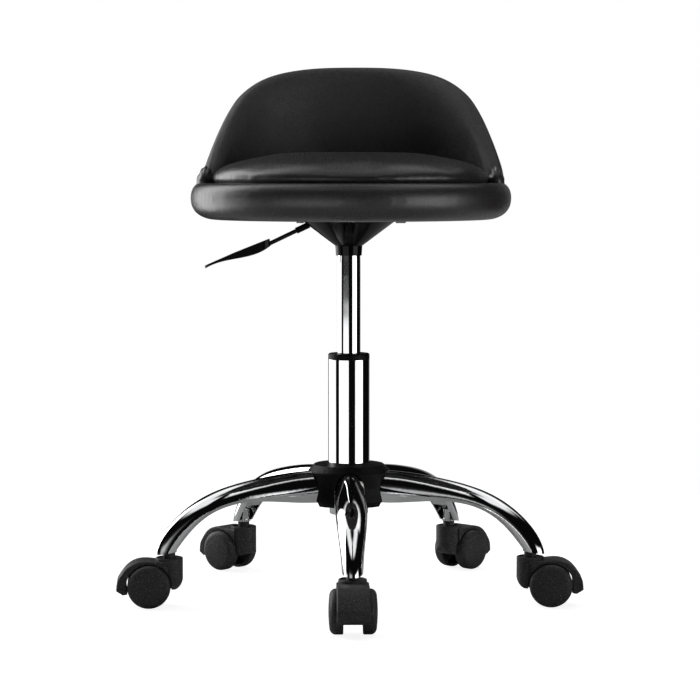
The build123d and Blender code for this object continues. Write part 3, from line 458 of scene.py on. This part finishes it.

# %% [markdown]
# ## Leather
# The cover is black upholstery leather. The seat is stretched over soft foam, so its grain is pulled
# almost flat and it shines softly. The back keeps its grain and looks duller, and its colours are a
# little lighter, which is painted light. Both use the same group with their own values.

# %% Leather
def leather(name, scale, depth, low, high, dark, light, stretch):
    """Pressed-grain leather with painted shade in the valleys; low and high are the roughness on the
    pebbles and in the valleys.
    """
    tree, shader = new_finish(name)
    grain = add_node(
        tree, "ShaderNodeGroup", {"Scale": scale, "Stretch": stretch}, node_tree=pebble_grain
    ).outputs
    # The darker colour in the valleys between the pebbles is painted shade.
    colour_mix(tree, shader, grain["Valleys"], light, dark)
    roughness_range(tree, shader, grain["Valleys"], low, high)
    bump(tree, shader, grain["Height"], depth, 0.9)


leather("leather_seat", 760.0, 0.00006, 0.2, 0.34, (0.02, 0.0185, 0.019), (0.034, 0.0315, 0.0325), 24.0)
# The back's colours are a little lighter than the seat's; this lighter tone is painted light.
leather("leather_back", 620.0, 0.0003, 0.36, 0.54, (0.022, 0.0203, 0.0207), (0.04, 0.0372, 0.038), 60.0)
finishes["leather_black"] = finishes["leather_seat"]
print("leathers: leather_seat, leather_back")

# %% [markdown]
# ## Dressing the hard parts
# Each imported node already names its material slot, so one loop swaps every slot for its finish.

# %% Assign finishes
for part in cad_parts.values():
    for holder in part.material_slots:
        holder.material = finishes[holder.material.name]
print("dressed nodes:", len(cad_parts))

# %% [markdown]
# ## Soft pieces
# A padded piece starts as a copy of its plain solid, a little shrunken, with an even skin of small
# quads. Air pressure in a cloth simulation then swells it against its pinned edges, as foam swells a
# leather cover. The movement is capped, so that every piece keeps its outline.

# %% Soft piece helpers
SWELL_FRAMES = 20


def object_from(shape, name):
    """New object at the origin from a bmesh, which is freed."""
    mesh = bpy.data.meshes.new(name)
    shape.to_mesh(mesh)
    shape.free()
    piece = bpy.data.objects.new(name, mesh)
    bpy.context.scene.collection.objects.link(piece)
    return piece


def merged_copy(node, name, shrink):
    """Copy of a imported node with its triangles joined, pulled in by shrink along its normals."""
    shape = bmesh.new()
    shape.from_mesh(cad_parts[node].data)
    bmesh.ops.remove_doubles(shape, verts=shape.verts, dist=0.00002)
    bmesh.ops.recalc_face_normals(shape, faces=shape.faces)
    piece = object_from(shape, name)
    even_skin(piece, shrink)
    return piece


def apply_modifiers(piece):
    """Bake a piece's modifiers into its own mesh."""
    view = bpy.context.evaluated_depsgraph_get()
    mesh = bpy.data.meshes.new_from_object(piece.evaluated_get(view))
    piece.modifiers.clear()
    piece.data = mesh


def relax(shape, rounds, factor=0.5):
    """Even out a skin of quads."""
    for _ in range(rounds):
        bmesh.ops.smooth_vert(
            shape, verts=shape.verts, factor=factor, use_axis_x=True, use_axis_y=True, use_axis_z=True
        )


def even_skin(piece, shrink, voxel=0.0045, rounds=4):
    """Voxel remesh, then pull the skin in and relax it."""
    remesh = piece.modifiers.new("skin", "REMESH")
    remesh.mode = "VOXEL"
    remesh.voxel_size = voxel
    apply_modifiers(piece)
    shape = bmesh.new()
    shape.from_mesh(piece.data)
    relax(shape, rounds)
    shape.normal_update()
    for point in shape.verts:
        point.co -= point.normal * shrink
    shape.to_mesh(piece.data)
    shape.free()


def swell(piece, held, pressure, cap, calm=2):
    """Cloth simulation with pressure; held(point) is 1 where a point is pinned and 0 where free."""
    group = piece.vertex_groups.new(name="pinned")
    for point in piece.data.vertices:
        group.add([point.index], held(point.co), "REPLACE")
    before = [point.co.copy() for point in piece.data.vertices]
    cloth = piece.modifiers.new("cloth", "CLOTH")
    cloth.settings.vertex_group_mass = group.name
    cloth.settings.use_pressure = True
    cloth.settings.uniform_pressure_force = pressure
    cloth.settings.effector_weights.gravity = 0.0
    cloth.settings.quality = 6
    cloth.point_cache.frame_end = SWELL_FRAMES
    scene = bpy.context.scene
    for frame_number in range(1, SWELL_FRAMES + 1):
        scene.frame_set(frame_number)
    apply_modifiers(piece)
    scene.frame_set(1)
    for point, start in zip(piece.data.vertices, before):
        moved = point.co - start
        if moved.length > cap:
            point.co = start + moved.normalized() * cap
    piece.vertex_groups.clear()
    shape = bmesh.new()
    shape.from_mesh(piece.data)
    relax(shape, calm)
    shape.to_mesh(piece.data)
    shape.free()


def finish_soft(piece, finish, levels=1):
    """Subdivide, shade smooth and dress a soft piece."""
    shape = bmesh.new()
    shape.from_mesh(piece.data)
    relax(shape, 2)
    shape.to_mesh(piece.data)
    shape.free()
    piece.data.materials.clear()
    piece.data.materials.append(finishes[finish])
    for face in piece.data.polygons:
        face.use_smooth = True
    smooth = piece.modifiers.new("smooth", "SUBSURF")
    smooth.levels = levels
    smooth.render_levels = levels


rim_low, rim_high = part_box("seat_rim")
seat_x = (rim_low[0] + rim_high[0]) / 2
rim_radius = (rim_high[0] - rim_low[0]) / 2
print("seat centre and rim radius, metres:", round(seat_x, 4), round(rim_radius, 4))

# %% [markdown]
# ## The rim roll
# The rim is a fat roll of foam under leather that wraps the edge of the board. It is pinned where it
# is stapled under the board and where it dives into the groove, and swells everywhere else.

# %% Rim
RIM_FREE_WIDTH = 22 * MM


def radius_at(point):
    """Distance of a point from the seat's upright centre line."""
    return hypot(point.x - seat_x, point.y)


def rim_held(point):
    """The rim is held near the board and in the groove, which lie inside its outer part."""
    return 1.0 if radius_at(point) < rim_radius - RIM_FREE_WIDTH else 0.0


rim = merged_copy("seat_rim", "rim_roll", 1.5 * MM)
swell(rim, rim_held, 4.0, 4 * MM)
finish_soft(rim, "leather_seat")
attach(rim, "seat")
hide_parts("seat_rim")
print("rim faces:", len(rim.data.polygons))

# %% [markdown]
# ## The cushion
# The cushion is a dome of foam, highest in the middle, whose cover is pulled down into the groove
# all round.

# %% Cushion
cushion_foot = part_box("seat_cushion")[0][2]
CUSHION_HELD_HEIGHT = 26 * MM
FILL_FROM = 45 * MM
FILL_OVER = 60 * MM
FILL_SHARE = 0.065


def cushion_held(point):
    """The cushion is held at its foot and along its flat underside."""
    return 1.0 if point.z < cushion_foot + CUSHION_HELD_HEIGHT else 0.0


def fill_the_front(piece, reach):
    """Push the cushion out towards the rim where the back does not hold it in."""
    for point in piece.data.vertices:
        ahead = min(1.0, max(0.0, (FILL_FROM - point.co.y) / FILL_OVER))
        outward = Vector((point.co.x - seat_x, point.co.y, 0))
        point.co += outward * reach * ahead * ahead * (3 - 2 * ahead)


cushion = merged_copy("seat_cushion", "cushion_dome", 1.5 * MM)
fill_the_front(cushion, FILL_SHARE)
swell(cushion, cushion_held, 1.5, 2 * MM, calm=14)
finish_soft(cushion, "leather_seat")
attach(cushion, "seat")
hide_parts("seat_cushion")
print("cushion faces:", len(cushion.data.polygons))

# %% [markdown]
# ## The back
# The back is a bent board padded on both sides, in one leather cover. Its top edge is a rounded
# roll, and its foot goes down into the rim. The cover sits a little round and off the centre line.

# %% Back outline
back_low, back_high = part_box("back_pad")
BACK_PAD = 23.7 * MM
BACK_MIDDLE = back_high[1] - BACK_PAD / 2
BACK_FOOT = back_low[2] - 4 * MM
BACK_RISE = back_high[2] - BACK_FOOT
BACK_HALF_TURN = radians(84.0)
BACK_COLUMNS = 144
BACK_ROWS = 26
BACK_FOOT_ROUND = 4.0 * MM
BACK_CROWN = 0.16
BACK_CROWN_REACH = 60.0 * MM
BACK_CROWN_POWER = 0.7
BACK_SKIRT = 9.0 * MM
BACK_SHIFT = 2.0 * MM
BACK_TWIST = radians(2.0)
BACK_CREST = [
    (-0.25, 0.98),
    (0.0, 1.0),
    (0.25, 0.98),
    (0.46, 0.9),
    (0.62, 0.75),
    (0.71, 0.6),
    (0.81, 0.4),
    (0.888, 0.25),
    (0.96, 0.12),
    (1.0, 0.0),
    (1.02, -0.1),
]


def crest_share(share):
    """Height of the top edge as a share, by a smooth curve through the crest's points."""
    for i in range(1, len(BACK_CREST) - 2):
        start, end = BACK_CREST[i], BACK_CREST[i + 1]
        if share <= end[0]:
            span = end[0] - start[0]
            t = (share - start[0]) / span
            leave = (end[1] - BACK_CREST[i - 1][1]) / (end[0] - BACK_CREST[i - 1][0]) * span
            arrive = (BACK_CREST[i + 2][1] - start[1]) / (BACK_CREST[i + 2][0] - start[0]) * span
            ease = t * t * (3 - 2 * t)
            swing = leave * t * (1 - t) ** 2 - arrive * t * t * (1 - t)
            return start[1] * (1 - ease) + end[1] * ease + swing
    return 0.0


def back_top(turn):
    """Height of the top edge at an angle from the middle of the back."""
    return BACK_FOOT + BACK_RISE * crest_share(min(1.0, abs(turn) / BACK_HALF_TURN))


def back_edge_points(count=240):
    """The top edge laid out flat: distance along the bend, and height."""
    turns = [BACK_HALF_TURN * sin(pi / 2 * (2 * i / count - 1)) for i in range(count + 1)]
    return [Vector((turn * BACK_MIDDLE, back_top(turn))) for turn in turns]


heights = [round(back_top(turn), 3) for turn in (0, BACK_HALF_TURN / 2)]
print("back height at the middle and half way round, metres:", heights)

# %% [markdown]
# Both faces of the back start as one flat grid. Each point is lifted off the middle of the wall by
# an amount that falls to nothing at the edge along a quarter circle, so the two faces meet in a
# round roll. Bending the result round the seat's centre gives the finished shell.

# %% Back
def half_thickness(from_edge, from_foot):
    """Distance of a face from the middle of the wall, rounded at the edge and at the foot."""
    edge = min(1.0, from_edge / (BACK_PAD / 2))
    foot = min(1.0, from_foot / BACK_FOOT_ROUND)
    crown = 1.0 + BACK_CROWN * min(1.0, from_edge / BACK_CROWN_REACH) ** BACK_CROWN_POWER
    return BACK_PAD / 2 * crown * (1 - (1 - edge) ** 2) ** 0.5 * (1 - (1 - foot) ** 2) ** 0.5


def back_face(shape, side, edge):
    """One face of the back, from a grid: side is 1 for the outside and -1 for the inside."""
    grid = bmesh.ops.create_grid(shape, x_segments=BACK_COLUMNS, y_segments=BACK_ROWS, size=1.0)
    skirt_foot = BACK_FOOT - BACK_SKIRT
    for point in grid["verts"]:
        turn = BACK_HALF_TURN * sin(pi / 2 * point.co.x)
        share = sin(pi / 4 * (point.co.y + 1))
        height = skirt_foot + share * (back_top(turn) - skirt_foot)
        flat = Vector((turn * BACK_MIDDLE, height))
        from_edge = 0.0 if share > 0.9999 else min((flat - place).length for place in edge)
        radius = BACK_MIDDLE + side * half_thickness(from_edge, height - skirt_foot)
        turn += BACK_TWIST
        point.co = (seat_x + BACK_SHIFT + radius * sin(turn), radius * cos(turn), height)


def back_shell():
    """Both faces of the back, joined along the edge and the foot."""
    edge = back_edge_points()
    shape = bmesh.new()
    back_face(shape, 1, edge)
    back_face(shape, -1, edge)
    bmesh.ops.remove_doubles(shape, verts=shape.verts, dist=0.05 * MM)
    bmesh.ops.recalc_face_normals(shape, faces=shape.faces)
    return object_from(shape, "back_roll")


def back_held(point):
    """The back is held along its foot and along the seam that runs round its edge."""
    at_edge = abs(radius_at(point - Vector((BACK_SHIFT, 0, 0))) - BACK_MIDDLE) < BACK_PAD / 4
    return 1.0 if at_edge or point.z < BACK_FOOT + 9 * MM else 0.0


back = back_shell()
swell(back, back_held, 2.0, 1.5 * MM, calm=4)
finish_soft(back, "leather_back")
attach(back, "seat")
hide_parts("back_pad")
print("back faces:", len(back.data.polygons))

# %% [markdown]
# ## The tucks
# Where the ends of the back meet the seat, the spare leather is gathered into a small fat tuck
# between the cushion and the foot of the back. It is a ball stretched along the bend, with a few
# shallow pleats.

# %% Tucks
TUCK_HALF = Vector((11.0, 18.0, 15.5)) * MM
TUCK_RADIUS = BACK_MIDDLE + 1.0 * MM
TUCK_TURN = BACK_HALF_TURN + radians(1.5)
TUCK_RISE = 1.0 * MM
TUCK_DROOP = 3 * MM
TUCK_TAPER = 0.35
PLEAT_DEPTH = 0.06
PLEAT_COUNT = 9.0
PLEAT_TWIST = 1.2


def tuck(name, side):
    """Gathered leather at one end of the back; side is 1 for the right and -1 for the left."""
    shape = bmesh.new()
    bmesh.ops.create_uvsphere(shape, u_segments=40, v_segments=28, radius=1.0)
    for point in shape.verts:
        across, along, up = point.co
        pleat = 1.0 + PLEAT_DEPTH * sin(PLEAT_COUNT * atan2(up, across) + PLEAT_TWIST * along)
        radius = TUCK_RADIUS + across * TUCK_HALF.x * pleat * (1.0 - TUCK_TAPER * up)
        turn = side * (TUCK_TURN + along * TUCK_HALF.y / TUCK_RADIUS)
        droop = TUCK_DROOP * max(0.0, along)
        height = rim_high[2] + TUCK_RISE + up * TUCK_HALF.z * pleat - droop
        point.co = (seat_x + radius * sin(turn), radius * cos(turn), height)
    bmesh.ops.recalc_face_normals(shape, faces=shape.faces)
    piece = object_from(shape, name)
    finish_soft(piece, "leather_seat")
    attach(piece, "seat")
    return piece


for tuck_name, tuck_side in (("tuck_right", 1), ("tuck_left", -1)):
    print(tuck_name, "faces:", len(tuck(tuck_name, tuck_side).data.polygons))

# %% [markdown]
# ## Under the seat
# A thin black cloth hides the foam and the board. It is stapled round the steel plate and tucked
# under the rim.

# %% Dust cover
cover_low, cover_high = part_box("dust_cover")
plate_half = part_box("seat_plate")[1][0]


def dust_cover():
    """Ring of cloth between the rim and a square opening for the plate."""
    radius = (cover_high[0] - cover_low[0]) / 2 + 4 * MM
    half = plate_half + 1 * MM
    count = 96
    shape = bmesh.new()
    outer = bmesh.ops.create_circle(shape, radius=radius, segments=count)["verts"]
    bmesh.ops.translate(shape, verts=outer, vec=(seat_x, 0, 0))
    inner = bmesh.ops.create_circle(shape, radius=half, segments=count)["verts"]
    for point in inner:
        point.co /= max(abs(point.co.x), abs(point.co.y)) / half
    bmesh.ops.bridge_loops(shape, edges=shape.edges[:])
    bmesh.ops.translate(shape, verts=shape.verts, vec=(0, 0, (cover_low[2] + cover_high[2]) / 2))
    bmesh.ops.recalc_face_normals(shape, faces=shape.faces)
    return object_from(shape, "underside_cloth"), pi * radius**2 - (2 * half) ** 2, 2 * radius


cover, cover_area, cover_side = dust_cover()
cover.data.materials.append(finishes["cloth_black"])
thick = cover.modifiers.new("thick", "SOLIDIFY")
thick.thickness = 0.5 * MM
thick.offset = 0.0
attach(cover, "seat")
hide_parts("dust_cover")
print("dust cover area, square metres:", round(cover_area, 4))
